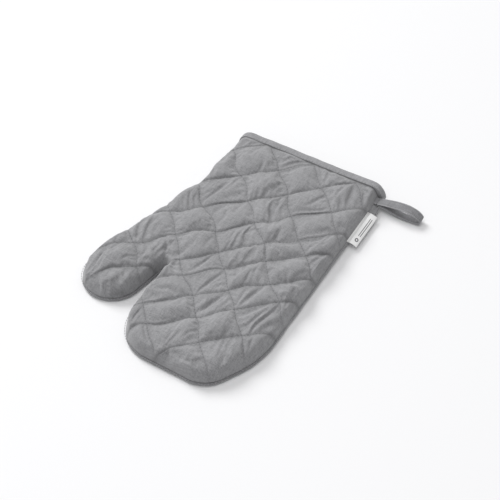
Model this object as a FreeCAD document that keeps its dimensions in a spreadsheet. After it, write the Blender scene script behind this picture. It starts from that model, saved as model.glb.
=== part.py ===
import FreeCAD, Part
import Sketcher
import math
import os

# Oven mitt, lying on its palm side. Millimetres.
# Origin: on the resting plane, half way along the mitt, on the centre line of the cuff.
# +X points to the side with the hanging loop and the label, +Y to the cuff, +Z up.
# Each panel is a quilted sandwich: outer cotton, wadding, lining. The two panels meet
# at the seam plane, and a folded binding closes their edges round the hand opening.

doc = FreeCAD.newDocument("oven_mitt")

# ------------------------------------------------------------------ driving dimensions

DRIVING = [
    # overall
    ("mitt_length", 281.0),         # finger tips to cuff edge
    ("cuff_width", 156.0),          # across the hand opening
    ("mitt_height", 24.5),          # resting plane to the top of the upper panel
    ("seam_height", 7.0),           # resting plane to the seam between the panels
    # outline, measured from the straight side and from the finger tips
    ("side_round", 90.0),           # straight side turning in to the finger tips
    ("side_round_rise", 72.5),
    ("outer_tip_round", 31.0),      # little finger corner
    ("outer_tip_inset", 45.5),
    ("inner_tip_round", 39.0),      # first finger corner
    ("inner_tip_lift", 1.5),
    ("fingers_width", 129.0),       # straight side to the inner side of the fingers
    ("crotch_round", 1.8),          # end of the slit between thumb and fingers
    ("crotch_rise", 93.0),
    ("thumb_reach", 196.0),         # straight side to the outside of the thumb
    ("thumb_round", 30.0),
    ("thumb_rise", 68.5),
    ("flare_round", 100.0),         # where the thumb side runs out into the cuff
    ("flare_rise", 214.0),
    ("overrun", 20.0),              # the outline is drawn past the cuff, then trimmed
    # cloth, wadding and thread
    ("top_edge_round", 12.0),
    ("palm_edge_round", 4.0),
    ("outer_cloth", 0.9),
    ("wadding_depth", 4.5),
    ("lining_cloth", 0.8),
    ("thread_width", 0.6),
    ("thread_depth", 0.3),
    # quilting: two families of rows
    ("rising_angle", 42.8),
    ("rising_spacing", 28.2),
    ("rising_shift", -1.0),
    ("falling_angle", -48.2),
    ("falling_spacing", 36.2),
    ("falling_shift", 18.0),
    # cuff binding
    ("binding_width", 8.0),
    ("binding_cloth", 0.5),
    ("binding_stitch_inset", 1.4),
    # hanging loop
    ("tape_width", 9.5),
    ("tape_thickness", 0.8),
    ("loop_reach", 49.0),
    ("loop_round", 5.0),
    ("loop_sag", 1.8),
    ("neck_length", 5.0),
    ("eye_round", 0.3),
    ("eye_start", 9.5),
    ("loop_to_binding", 0.4),
    ("loop_stitch_inset", 1.2),
    # side label
    ("label_length", 43.0),
    ("label_flap", 12.5),
    ("label_thickness", 0.6),
    ("label_to_loop", 12.0),
    # free play of a soft piece beside the seam that it turns about
    ("hinge_gap", 0.3),
]

DERIVED = [
    ("half_length", "=mitt_length / 2"),
    ("cuff_side", "=cuff_width / 2"),
    ("outline_end", "=half_length + overrun"),
    # centres of the outline's rounds
    ("side_x", "=cuff_side - side_round"),
    ("side_y", "=side_round_rise - half_length"),
    ("outer_tip_x", "=cuff_side - outer_tip_inset"),
    ("outer_tip_y", "=outer_tip_round - half_length"),
    ("crotch_x", "=cuff_side - fingers_width"),
    ("crotch_y", "=crotch_rise - half_length"),
    ("inner_tip_x", "=crotch_x + inner_tip_round"),
    ("inner_tip_y", "=inner_tip_round + inner_tip_lift - half_length"),
    ("thumb_x", "=cuff_side - thumb_reach + thumb_round"),
    ("thumb_y", "=thumb_rise - half_length"),
    ("flare_x", "=-cuff_side - flare_round"),
    ("flare_y", "=flare_rise - half_length"),
    # how far each surface of the sandwich lies inside the outline
    ("face", "=0"),
    ("groove_floor", "=thread_depth"),
    ("shell_inside", "=outer_cloth"),
    ("thread_inside", "=outer_cloth + thread_width"),
    ("wadding_inside", "=outer_cloth + wadding_depth"),
    ("lining_inside", "=wadding_inside + lining_cloth"),
    # the same surfaces where the binding squeezes the edge
    ("bound_face", "=binding_cloth"),
    ("bound_shell_inside", "=shell_inside + binding_cloth"),
    ("bound_wadding_inside", "=wadding_inside - binding_cloth"),
    ("bound_lining_inside", "=lining_inside - binding_cloth"),
    # places along the cuff
    ("binding_start", "=half_length - binding_width"),
    ("layers_end", "=half_length - binding_cloth"),
    ("binding_stitch_y", "=binding_start + binding_stitch_inset"),
    # levels of the palm panel
    ("lining_floor", "=seam_height - lining_cloth"),
    ("bound_lining_floor", "=lining_floor - binding_cloth"),
    ("binding_lip_floor", "=seam_height - binding_cloth"),
    ("seam_thread_floor", "=seam_height - thread_width"),
    # hanging loop: hinge line, place along the side, and rounds measured from the hinge
    ("loop_hinge_x", "=cuff_side + hinge_gap + tape_thickness"),
    ("loop_hinge_z", "=seam_height + tape_thickness"),
    ("loop_y", "=binding_start - loop_to_binding - tape_width"),
    ("hinge_u", "=0"),
    ("hinge_w", "=0"),
    ("loop_tip_u", "=cuff_side + loop_reach - loop_round - loop_hinge_x"),
    ("loop_tip_w", "=-loop_sag"),
    ("eye_w", "=-loop_sag * (eye_start - neck_length) / (loop_tip_u - neck_length)"),
    ("eye_tip_round", "=loop_round - tape_thickness"),
    ("tape_groove", "=tape_thickness - thread_depth"),
    ("tip_groove", "=loop_round - thread_depth"),
    ("tail_thickness", "=2 * tape_thickness"),
    ("tail_x", "=cuff_side - wadding_inside"),
    # side label
    ("label_hinge_x", "=cuff_side + hinge_gap + label_thickness / 2"),
    ("label_hinge_z", "=seam_height + label_thickness / 2"),
    ("label_y", "=loop_y - label_to_loop - label_length"),
    ("label_width", "=label_flap - hinge_gap"),
]

sheet = doc.addObject("Spreadsheet::Sheet", "Sizes")
for row, (alias, value) in enumerate(DRIVING + DERIVED, start=1):
    sheet.set("A%d" % row, alias)
    sheet.set("B%d" % row, str(value))
    sheet.setAlias("B%d" % row, alias)
doc.recompute()


def dim(alias):
    """Current value of one cell, in millimetres or degrees."""
    value = getattr(sheet, alias)
    return float(getattr(value, "Value", value))


def bind(obj, **texts):
    """Bind properties to expressions on the sheet; a double underscore stands for a dot."""
    for prop, text in texts.items():
        obj.setExpression(prop.replace("__", "."), text)


# ----------------------------------------------------------------- sketched outlines

def pulley(name, bulge=1):
    """A round of an outline: centre NAME_x, NAME_y, radius NAME_round.
    bulge is 1 where the cloth lies inside the round and -1 where it lies outside."""
    return {"x": name + "_x", "y": name + "_y", "radius": name + "_round", "bulge": bulge}


def centre(item):
    return FreeCAD.Vector(dim(item["x"]), dim(item["y"]), 0)


def tangent_points(first, second):
    """Ends of the straight run from one round to the next, going clockwise."""
    start, end = centre(first), centre(second)
    r_start = first["bulge"] * dim(first["radius"])
    r_end = second["bulge"] * dim(second["radius"])
    run = end - start
    angle = math.atan2(run.y, run.x) + math.acos((r_start - r_end) / run.Length)
    outward = FreeCAD.Vector(math.cos(angle), math.sin(angle), 0)
    return start + outward * r_start, end + outward * r_end


def place_round(sketch, item, arc):
    for kind, alias in (("DistanceX", item["x"]), ("DistanceY", item["y"])):
        at = sketch.addConstraint(Sketcher.Constraint(kind, -1, 1, arc, 3, dim(alias)))
        sketch.setExpression("Constraints[%d]" % at, "Sizes." + alias)
    radius = Sketcher.Constraint("Radius", arc, dim(item["radius"]))
    at = sketch.addConstraint(radius)
    sketch.setExpression("Constraints[%d]" % at, "Sizes." + item["radius"])


def belt(name, rounds, open_end=None):
    """Sketch of straight runs and tangent rounds. open_end names the cell with the height
    of a straight line that closes the outline between its first and last round."""
    sketch = doc.addObject("Sketcher::SketchObject", name)
    count = len(rounds)
    runs = []
    for at in range(count if open_end is None else count - 1):
        runs.append(tangent_points(rounds[at], rounds[(at + 1) % count]))
    if open_end:
        first, last = rounds[0], rounds[-1]
        right = centre(first) + FreeCAD.Vector(dim(first["radius"]) * first["bulge"], 0, 0)
        left = centre(last) - FreeCAD.Vector(dim(last["radius"]) * last["bulge"], 0, 0)
        end_y = dim(open_end)
        runs.insert(0, (FreeCAD.Vector(right.x, end_y, 0), right))
        runs.append((left, FreeCAD.Vector(left.x, end_y, 0)))
    lines = [sketch.addGeometry(Part.LineSegment(*run)) for run in runs]
    for at, item in enumerate(rounds):
        before = at if open_end else at - 1
        after = at + 1 if open_end else at
        entry, exit_ = runs[before][1] - centre(item), runs[after][0] - centre(item)
        angles = [math.atan2(entry.y, entry.x), math.atan2(exit_.y, exit_.x)]
        entry_end, exit_end = 1, 2
        if item["bulge"] > 0:
            angles.reverse()
            entry_end, exit_end = 2, 1
        circle = Part.Circle(centre(item), FreeCAD.Vector(0, 0, 1), dim(item["radius"]))
        arc = sketch.addGeometry(Part.ArcOfCircle(circle, *angles))
        sketch.addConstraint(Sketcher.Constraint("Tangent", lines[before], 2, arc, entry_end))
        sketch.addConstraint(Sketcher.Constraint("Tangent", lines[after], 1, arc, exit_end))
        place_round(sketch, item, arc)
    if open_end:
        closing = sketch.addGeometry(Part.LineSegment(runs[-1][1], runs[0][0]))
        sketch.addConstraint(Sketcher.Constraint("Coincident", lines[-1], 2, closing, 1))
        sketch.addConstraint(Sketcher.Constraint("Coincident", closing, 2, lines[0], 1))
        sketch.addConstraint(Sketcher.Constraint("Vertical", lines[0]))
        sketch.addConstraint(Sketcher.Constraint("Vertical", lines[-1]))
        sketch.addConstraint(Sketcher.Constraint("Horizontal", closing))
        height = Sketcher.Constraint("DistanceY", -1, 1, closing, 1, dim(open_end))
        at = sketch.addConstraint(height)
        sketch.setExpression("Constraints[%d]" % at, "Sizes." + open_end)
    doc.recompute()
    if sketch.solve() != 0:
        raise SystemExit("sketch %s is not solved" % name)
    return sketch


outline = belt("Outline", [
    pulley("side"),
    pulley("outer_tip"),
    pulley("inner_tip"),
    pulley("crotch", bulge=-1),
    pulley("thumb"),
    pulley("flare", bulge=-1),
], open_end="outline_end")

# ------------------------------------------------------------------- solid operations


def cut(base, *tools):
    for tool in tools:
        result = doc.addObject("Part::Cut", "Cut")
        result.Base = base
        result.Tool = tool
        base = result
    return base


def common(base, tool):
    result = doc.addObject("Part::Common", "Common")
    result.Base = base
    result.Tool = tool
    return result


def fuse(*pieces):
    result = doc.addObject("Part::MultiFuse", "Fuse")
    result.Shapes = list(pieces)
    result.Refine = True
    return result


def block(name, x, y, z, length, width, height):
    """Box with its lowest corner and sides given as expressions on the sheet."""
    box = doc.addObject("Part::Box", name)
    bind(box, Length=length, Width=width, Height=height)
    bind(box, Placement__Base__x=x, Placement__Base__y=y, Placement__Base__z=z)
    return box


def slab_y(name, start, end):
    """Everything between two places along the mitt."""
    return block(name, "-Sizes.thumb_reach - Sizes.cuff_width", start, "-Sizes.mitt_height",
                 "2 * (Sizes.thumb_reach + Sizes.cuff_width)", "%s - (%s)" % (end, start),
                 "3 * Sizes.mitt_height")


def slab_z(name, floor, ceiling):
    """Everything between two levels."""
    return block(name, "-Sizes.thumb_reach - Sizes.cuff_width", "-Sizes.mitt_length", floor,
                 "2 * (Sizes.thumb_reach + Sizes.cuff_width)", "2 * Sizes.mitt_length",
                 "%s - (%s)" % (ceiling, floor))


def round_over(solid, level, radius):
    """Round the edges that lie at one level, apart from the trimmed end of the cuff."""
    doc.recompute()
    rounded = doc.addObject("Part::Fillet", "Rounded")
    rounded.Base = solid
    edges = []
    for number, edge in enumerate(solid.Shape.Edges, start=1):
        box = edge.BoundBox
        at_level = abs(box.ZMin - level) < 1e-4 and abs(box.ZMax - level) < 1e-4
        at_end = box.YMax - box.YMin < 1e-4 and box.YMax > dim("half_length")
        if at_level and not at_end:
            edges.append((number, radius, radius))
    rounded.Edges = edges
    return rounded


FORMS = {}


def inset_outline(inset):
    if inset == "face":
        return outline
    drawn_in = doc.addObject("Part::Offset2D", "Inset_" + inset)
    drawn_in.Source = outline
    bind(drawn_in, Value="-Sizes." + inset)
    return drawn_in


def form(side, inset):
    """Rounded body of one panel with all its faces moved in by one named inset."""
    key = (side, inset)
    if key not in FORMS:
        body = doc.addObject("Part::Extrusion", "Body_%s_%s" % key)
        body.Base = inset_outline(inset)
        body.Dir = FreeCAD.Vector(0, 0, 1)
        body.Solid = True
        if side == "back":
            floor, ceiling = "Sizes.seam_height", "Sizes.mitt_height - Sizes." + inset
            level = dim("mitt_height") - dim(inset)
            radius = dim("top_edge_round") - dim(inset)
        else:
            floor, ceiling = "Sizes." + inset, "Sizes.seam_height"
            level = dim(inset)
            radius = dim("palm_edge_round") - dim(inset)
        bind(body, LengthFwd="%s - (%s)" % (ceiling, floor), Placement__Base__z=floor)
        FORMS[key] = round_over(body, level, radius)
    return FORMS[key]


def plate(name, inset, floor, ceiling):
    """Flat sheet inside the outline, between two levels."""
    sheet_of_cloth = doc.addObject("Part::Extrusion", name)
    sheet_of_cloth.Base = inset_outline(inset)
    sheet_of_cloth.Dir = FreeCAD.Vector(0, 0, 1)
    sheet_of_cloth.Solid = True
    bind(sheet_of_cloth, LengthFwd="%s - %s" % (ceiling, floor), Placement__Base__z=floor)
    return sheet_of_cloth


def skin(side, outer, inner):
    return cut(form(side, outer), form(side, inner))


HALF = "Sizes.half_length"
body_zone = slab_y("Body_zone", "-Sizes.mitt_length", "Sizes.binding_start")
bound_zone = slab_y("Bound_zone", "Sizes.binding_start", "Sizes.layers_end")
binding_zone = slab_y("Binding_zone", "Sizes.binding_start", HALF)


def layer(side, outer, inner):
    """One cloth or wadding layer that runs from the tips to the end of the cuff."""
    free = common(skin(side, outer, inner), body_zone)
    bound_outer = "bound_" + outer
    bound_inner = "bound_" + inner
    bound = common(skin(side, bound_outer, bound_inner), bound_zone)
    return fuse(free, bound)


SUBPARTS = []


def subpart(obj, label):
    obj.Label = label
    SUBPARTS.append(obj)
    return obj


# -------------------------------------------------------------------- sewn-in tails

loop_tail = subpart(block("Loop_tail", "Sizes.tail_x", "Sizes.loop_y", "Sizes.seam_height",
                          "Sizes.cuff_side - Sizes.tail_x", "Sizes.tape_width",
                          "Sizes.tail_thickness"), "hanging_loop_tail")
label_tail = subpart(block("Label_tail", "Sizes.tail_x", "Sizes.label_y",
                           "Sizes.seam_height", "Sizes.cuff_side - Sizes.tail_x",
                           "Sizes.label_length", "Sizes.label_thickness"),
                     "side_label_tail")

# ------------------------------------------------------------------ quilting thread


def stitch_rows(name, angle, spacing, shift):
    """Upright slices, one for each row of quilting stitches."""
    turn = FreeCAD.Rotation(FreeCAD.Vector(0, 0, 1), dim(angle))
    across = turn.multVec(FreeCAD.Vector(0, -1, 0))
    along = turn.multVec(FreeCAD.Vector(1, 0, 0))
    reach = math.hypot(dim("half_length"), dim("thumb_reach"))
    rows = int(reach / dim(spacing)) + 1
    slices = []
    for number in range(-rows, rows + 1):
        middle = across * (dim(shift) + number * dim(spacing))
        piece = Part.makeBox(2 * reach, dim("thread_width"), 3 * dim("mitt_height"))
        start = middle - along * reach + across * (dim("thread_width") / 2)
        start.z = -dim("mitt_height")
        piece.Placement = FreeCAD.Placement(start, turn)
        slices.append(piece)
    feature = doc.addObject("Part::Feature", name)
    feature.Shape = slices[0].multiFuse(slices[1:])
    return feature


rising_rows = stitch_rows("Rising_rows", "rising_angle", "rising_spacing", "rising_shift")
falling_rows = stitch_rows("Falling_rows", "falling_angle", "falling_spacing", "falling_shift")
all_rows = fuse(rising_rows, falling_rows)
all_rows.Refine = False


def quilting_thread(side):
    groove = common(skin(side, "face", "groove_floor"), body_zone)
    return common(groove, all_rows)


thread_top = subpart(cut(quilting_thread("back"), loop_tail, label_tail),
                     "quilting_thread_top")
thread_bottom = subpart(quilting_thread("palm"), "quilting_thread_bottom")

# ---------------------------------------------------------------------- back panel

subpart(cut(layer("back", "face", "shell_inside"), thread_top, loop_tail, label_tail),
        "outer_shell_top")
subpart(cut(layer("back", "shell_inside", "wadding_inside"), loop_tail, label_tail),
        "wadding_top")
subpart(layer("back", "wadding_inside", "lining_inside"), "lining_top")

# ---------------------------------------------------------------------- palm panel

lining_level = slab_z("Lining_level", "Sizes.lining_floor", "Sizes.seam_height")
bound_lining_level = slab_z("Bound_lining_level", "Sizes.bound_lining_floor",
                            "Sizes.seam_height")
seam_thread_level = slab_z("Seam_thread_level", "Sizes.seam_thread_floor",
                           "Sizes.seam_height")

seam_ring = common(skin("palm", "shell_inside", "thread_inside"), seam_thread_level)
seam_thread = subpart(common(seam_ring, body_zone), "seam_thread")

lip = plate("Binding_lip", "bound_lining_inside", "Sizes.binding_lip_floor",
            "Sizes.seam_height")
free_core = common(form("palm", "shell_inside"), body_zone)
bound_core = cut(common(form("palm", "bound_shell_inside"), bound_zone), lip)

subpart(cut(layer("palm", "face", "shell_inside"), thread_bottom), "outer_shell_bottom")
subpart(fuse(cut(free_core, lining_level), cut(bound_core, bound_lining_level)),
        "wadding_bottom")
subpart(fuse(cut(common(free_core, lining_level), seam_thread),
             common(bound_core, bound_lining_level)), "lining_bottom")

# -------------------------------------------------------------------- cuff binding

binding_top = cut(common(skin("back", "face", "lining_inside"), binding_zone),
                  common(skin("back", "bound_face", "bound_lining_inside"), bound_zone))
palm_core = cut(common(form("palm", "bound_face"), bound_zone), lip)
binding_bottom = cut(common(form("palm", "face"), binding_zone), palm_core)

stitch_line = slab_y("Stitch_line", "Sizes.binding_stitch_y",
                     "Sizes.binding_stitch_y + Sizes.thread_width")
binding_thread = subpart(common(fuse(skin("back", "face", "groove_floor"),
                                     skin("palm", "face", "groove_floor")), stitch_line),
                         "binding_thread")
subpart(cut(fuse(binding_top, binding_bottom), binding_thread), "cuff_binding")

# -------------------------------------------------------------------- hanging loop


def loop_round(x, y, radius):
    return {"x": x, "y": y, "radius": radius, "bulge": 1}


def loop_slice(name, rounds):
    """Sketch in the loop's own upright plane, pulled out along Y to the tape's width."""
    sketch = belt(name, rounds)
    turn = FreeCAD.Rotation(FreeCAD.Vector(1, 0, 0), 90)
    sketch.Placement = FreeCAD.Placement(FreeCAD.Vector(0, 0, 0), turn)
    bind(sketch, Placement__Base__x="Sizes.loop_hinge_x", Placement__Base__y="Sizes.loop_y",
         Placement__Base__z="Sizes.loop_hinge_z")
    solid = doc.addObject("Part::Extrusion", name + "_solid")
    solid.Base = sketch
    solid.DirMode = "Custom"
    solid.Dir = FreeCAD.Vector(0, 1, 0)
    solid.Solid = True
    bind(solid, LengthFwd="Sizes.tape_width")
    return solid


hinge_end = loop_round("hinge_u", "hinge_w", "tape_thickness")
neck_end = loop_round("neck_length", "hinge_w", "tape_thickness")
tip_outside = loop_round("loop_tip_u", "loop_tip_w", "loop_round")
eye_end = loop_round("eye_start", "eye_w", "eye_round")
tip_inside = loop_round("loop_tip_u", "loop_tip_w", "eye_tip_round")

neck = loop_slice("Loop_neck", [hinge_end, neck_end])
teardrop = loop_slice("Loop_teardrop", [neck_end, tip_outside])
eye = loop_slice("Loop_eye", [eye_end, tip_inside])
tape = cut(fuse(neck, teardrop), eye)

# edge stitching: two rows let into the outside of the tape
groove_hinge_end = loop_round("hinge_u", "hinge_w", "tape_groove")
groove_neck_end = loop_round("neck_length", "hinge_w", "tape_groove")
groove_tip = loop_round("loop_tip_u", "loop_tip_w", "tip_groove")
under_stitches = fuse(loop_slice("Groove_neck", [groove_hinge_end, groove_neck_end]),
                      loop_slice("Groove_teardrop", [groove_neck_end, groove_tip]))
lower_row = slab_y("Lower_row", "Sizes.loop_y + Sizes.loop_stitch_inset",
                   "Sizes.loop_y + Sizes.loop_stitch_inset + Sizes.thread_width")
upper_row = slab_y("Upper_row", "Sizes.loop_y + Sizes.tape_width"
                   " - Sizes.loop_stitch_inset - Sizes.thread_width",
                   "Sizes.loop_y + Sizes.tape_width - Sizes.loop_stitch_inset")
loop_thread = subpart(common(cut(tape, under_stitches), fuse(lower_row, upper_row)),
                      "loop_edge_thread")
subpart(cut(tape, loop_thread), "hanging_loop")

# ---------------------------------------------------------------------- side label

subpart(block("Label", "Sizes.cuff_side + Sizes.hinge_gap", "Sizes.label_y",
              "Sizes.seam_height", "Sizes.label_width", "Sizes.label_length",
              "Sizes.label_thickness"), "side_label")

# ------------------------------------------------------------------ checks and files

doc.recompute()
for item in doc.Objects:
    if "Invalid" in item.State or "Error" in item.State:
        raise SystemExit("%s (%s) failed: %s" % (item.Name, item.Label, item.State))
for item in SUBPARTS:
    if item.Shape.isNull() or not item.Shape.isValid() or item.Shape.Volume <= 0:
        raise SystemExit("sub-part %s has no valid shape" % item.Label)

os.makedirs("parts", exist_ok=True)
for item in SUBPARTS:
    box = item.Shape.BoundBox
    print("%-22s %2d solids %10.1f mm3  x %.1f..%.1f  y %.1f..%.1f  z %.2f..%.2f" % (
        item.Label, len(item.Shape.Solids), item.Shape.Volume,
        box.XMin, box.XMax, box.YMin, box.YMax, box.ZMin, box.ZMax))
    item.Shape.exportStep("parts/%s.step" % item.Label)
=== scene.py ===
# %% [markdown]
# # A quilted oven mitt
# The mitt is two quilted panels, sewn together along the outline and closed at the cuff by
# a folded binding. A tape loop and a white label are caught in the side seam. The packed
# model already says where everything is and how it moves. This lesson gives each piece the
# look of real cloth, and it starts by loading that model as a fixed frame.

# %% Load the frame
import math
import bmesh
import bpy
import numpy as np
from mathutils import Matrix, Vector, noise
from mathutils.bvhtree import BVHTree


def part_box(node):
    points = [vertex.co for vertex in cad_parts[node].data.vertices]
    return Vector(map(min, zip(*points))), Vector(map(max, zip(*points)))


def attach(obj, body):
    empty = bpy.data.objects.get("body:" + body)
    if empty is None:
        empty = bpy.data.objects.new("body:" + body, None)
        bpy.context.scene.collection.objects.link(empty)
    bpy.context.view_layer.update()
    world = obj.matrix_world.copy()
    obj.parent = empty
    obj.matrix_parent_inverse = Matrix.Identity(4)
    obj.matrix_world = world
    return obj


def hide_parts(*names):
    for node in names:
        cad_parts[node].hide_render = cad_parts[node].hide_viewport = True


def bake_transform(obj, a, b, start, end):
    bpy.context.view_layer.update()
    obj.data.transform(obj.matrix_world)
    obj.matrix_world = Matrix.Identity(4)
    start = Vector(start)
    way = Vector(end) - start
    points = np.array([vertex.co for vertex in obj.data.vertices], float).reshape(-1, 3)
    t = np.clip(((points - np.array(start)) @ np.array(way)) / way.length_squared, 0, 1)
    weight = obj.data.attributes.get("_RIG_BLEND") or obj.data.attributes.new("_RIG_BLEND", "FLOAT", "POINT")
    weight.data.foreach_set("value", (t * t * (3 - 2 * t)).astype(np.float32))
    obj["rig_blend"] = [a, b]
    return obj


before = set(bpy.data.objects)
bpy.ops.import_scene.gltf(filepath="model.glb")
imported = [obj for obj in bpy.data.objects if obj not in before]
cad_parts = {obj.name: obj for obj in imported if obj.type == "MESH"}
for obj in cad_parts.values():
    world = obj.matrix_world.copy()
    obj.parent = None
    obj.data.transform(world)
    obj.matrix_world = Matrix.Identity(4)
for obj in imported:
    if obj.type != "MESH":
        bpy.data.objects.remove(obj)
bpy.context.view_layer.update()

MM = 0.001
palm_low, palm_high = (np.array(corner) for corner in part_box("outer_shell_bottom"))
back_low, back_high = (np.array(corner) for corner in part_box("outer_shell_top"))
binding_low, binding_high = (np.array(corner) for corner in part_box("cuff_binding"))
loop_low, loop_high = (np.array(corner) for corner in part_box("hanging_loop"))
label_low, label_high = (np.array(corner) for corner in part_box("side_label"))
SEAM_Z = palm_high[2]
CUFF_Y = binding_high[1]
print("mitt", palm_low.round(4), back_high.round(4), "seam at", round(SEAM_Z, 4))

# %% [markdown]
# ## Camera, floor and light
# The mitt is looked at from above and a little from its straight side, from far enough
# away that it hardly narrows. A long lens does that. The light is a big soft window from
# the upper left with a bright room round it, so shadows are pale and have no hard edge.

# %% Camera
CAMERA_TARGET = Vector((1.25, 19.4, 0)) * MM
CAMERA_DISTANCE = 1.381
CAMERA_AZIMUTH = math.radians(30.3)
CAMERA_ELEVATION = math.radians(48)

to_camera = Vector((math.sin(CAMERA_AZIMUTH) * math.cos(CAMERA_ELEVATION),
                    -math.cos(CAMERA_AZIMUTH) * math.cos(CAMERA_ELEVATION),
                    math.sin(CAMERA_ELEVATION)))
camera = bpy.data.objects.new("camera", bpy.data.cameras.new("camera"))
camera.data.lens = 108
camera.data.sensor_width = 36
camera.data.clip_end = 20
camera.location = CAMERA_TARGET + to_camera * CAMERA_DISTANCE
camera.rotation_mode = "QUATERNION"
camera.rotation_quaternion = (-to_camera).to_track_quat("-Z", "Y")
bpy.context.collection.objects.link(camera)
bpy.context.scene.camera = camera
bpy.context.scene.view_settings.view_transform = "Standard"
print("camera", round(CAMERA_DISTANCE, 3), "m from the mitt")


# %% [markdown]
# ## Shader maths
# Materials are easier to read as formulas. A small class wraps a socket, so that
# adding or multiplying two of them adds the node that does it.

# %% A socket that can be calculated with
class Socket:
    tree = None

    def __init__(self, link):
        self.link = link

    @classmethod
    def node(cls, kind, settings=None, out=0, **inputs):
        made = cls.tree.nodes.new("ShaderNode" + kind)
        for name, value in (settings or {}).items():
            if name == "stops":
                while len(made.color_ramp.elements) < len(value):
                    made.color_ramp.elements.new(0.5)
                for stop, (place, grey) in zip(made.color_ramp.elements, value):
                    stop.position = place
                    stop.color = (grey, grey, grey, 1)
            else:
                setattr(made, name, value)
        for name, value in inputs.items():
            name = int(name[1:]) if name[0] == "_" else name.replace("_", " ")
            if isinstance(value, Socket):
                cls.tree.links.new(value.link, made.inputs[name])
            else:
                made.inputs[name].default_value = value
        return cls(made.outputs[out])

    def maths(self, operation, other=0.0, swap=False):
        first, second = (other, self) if swap else (self, other)
        return Socket.node("Math", {"operation": operation}, _0=first, _1=second)

    def __add__(self, other): return self.maths("ADD", other)
    def __sub__(self, other): return self.maths("SUBTRACT", other)
    def __rsub__(self, other): return self.maths("SUBTRACT", other, True)
    def __mul__(self, other): return self.maths("MULTIPLY", other)
    def __pow__(self, other): return self.maths("POWER", other)


def material(name, roughness, sheen=0.0):
    made = bpy.data.materials.new(name)
    made.use_nodes = True
    Socket.tree = made.node_tree
    shader = made.node_tree.nodes["Principled BSDF"]
    shader.inputs["Roughness"].default_value = roughness
    shader.inputs["Sheen Weight"].default_value = sheen
    shader.inputs["Sheen Roughness"].default_value = 0.6
    shader.inputs["Specular IOR Level"].default_value = 0.2
    return made, shader


def feed(shader, name, value):
    Socket.tree.links.new(value.link, shader.inputs[name])


# %% Floor and light
FLOOR_SIZE = 6
FLOOR_GAP = 0.3 * MM
ROOM_BRIGHTNESS = 0.42

floor_mesh = bmesh.new()
bmesh.ops.create_grid(floor_mesh, x_segments=1, y_segments=1, size=FLOOR_SIZE)
floor = bpy.data.objects.new("floor", bpy.data.meshes.new("floor"))
floor_mesh.to_mesh(floor.data)
floor_mesh.free()
bpy.context.collection.objects.link(floor)
floor_paint, floor_shader = material("white_floor", 0.9)
floor_shader.inputs["Base Color"].default_value = (0.86, 0.86, 0.87, 1)
floor.data.materials.append(floor_paint)
floor.location.z = -FLOOR_GAP


def soft_box(name, place, size, power):
    light = bpy.data.lights.new(name, "AREA")
    light.shape = "DISK"
    light.size = size
    light.energy = power
    lamp = bpy.data.objects.new(name, light)
    lamp.location = place
    aim = (CAMERA_TARGET - lamp.location).to_track_quat("-Z", "Y")
    lamp.rotation_mode = "QUATERNION"
    lamp.rotation_quaternion = aim
    bpy.context.collection.objects.link(lamp)


soft_box("window", Vector((-3.4, 1.4, 3.2)), 2.3, 162)
soft_box("overhead", Vector((0, -0.5, 2.4)), 2.2, 22)
world = bpy.data.worlds.new("room")
world.use_nodes = True
world.node_tree.nodes["Background"].inputs["Color"].default_value = (1, 1, 1, 1)
world.node_tree.nodes["Background"].inputs["Strength"].default_value = ROOM_BRIGHTNESS
bpy.context.scene.world = world
print("floor, two soft lights and a pale room")

# %% [markdown]
# ## The outline
# Both panels are cut to one outline, so every piece of the mitt needs to know how far a
# point lies inside it. The palm panel of the frame already has that outline as its side
# wall, so a level slice through it gives the line, and no size is written twice.

# %% Slice the palm wadding to find the outline
def slice_loop(node, height):
    """Corners of a level slice through a node, in order, from the same start each time."""
    mesh = bmesh.new()
    mesh.from_mesh(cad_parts[node].data)
    bmesh.ops.remove_doubles(mesh, verts=mesh.verts, dist=1e-6)
    cut = bmesh.ops.bisect_plane(mesh, geom=mesh.verts[:] + mesh.edges[:] + mesh.faces[:],
                                 plane_co=(0, 0, height), plane_no=(0, 0, 1))
    edges = {e for e in cut["geom_cut"] if isinstance(e, bmesh.types.BMEdge)}
    edge = min(edges, key=lambda e: sorted(v.co[:] for v in e.verts))
    edges.discard(edge)
    line = sorted(edge.verts, key=lambda v: v.co[:])
    while edges:
        step = next(e for e in line[-1].link_edges if e in edges)
        edges.discard(step)
        line.append(step.other_vert(line[-1]))
    points = np.array([v.co[:2] for v in line[:-1]])
    mesh.free()
    return points


SHELL = palm_high[0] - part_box("wadding_bottom")[1][0]
SIDE_END_Y = binding_low[1] - 6 * MM
ring = slice_loop("wadding_bottom", SEAM_Z * 0.6)
ring = np.roll(ring, -int(np.argmax(ring[:, 1])), axis=0)
ring = ring[ring[:, 1] < SIDE_END_Y]
if ring[0, 0] < ring[-1, 0]:
    ring = ring[::-1]
past_cuff = CUFF_Y + 30 * MM  # the sides run straight on, so the cuff is not an edge
OUTLINE = np.vstack([[ring[0, 0], past_cuff], ring, [ring[-1, 0], past_cuff]])
print("outline of", len(OUTLINE), "points, cloth", round(SHELL / MM, 2), "mm thick")


# %% How far inside the outline a point lies
def nearest_on_outline(points):
    start, run = OUTLINE[:-1], np.diff(OUTLINE, axis=0)
    found = np.empty_like(points)
    for first in range(0, len(points), 4000):
        part = points[first:first + 4000]
        along = ((part[:, None] - start) * run).sum(2) / (run ** 2).sum(1)
        foot = start + np.clip(along, 0, 1)[..., None] * run
        best = ((part[:, None] - foot) ** 2).sum(2).argmin(1)
        found[first:first + 4000] = foot[np.arange(len(part)), best]
    return found


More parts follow.
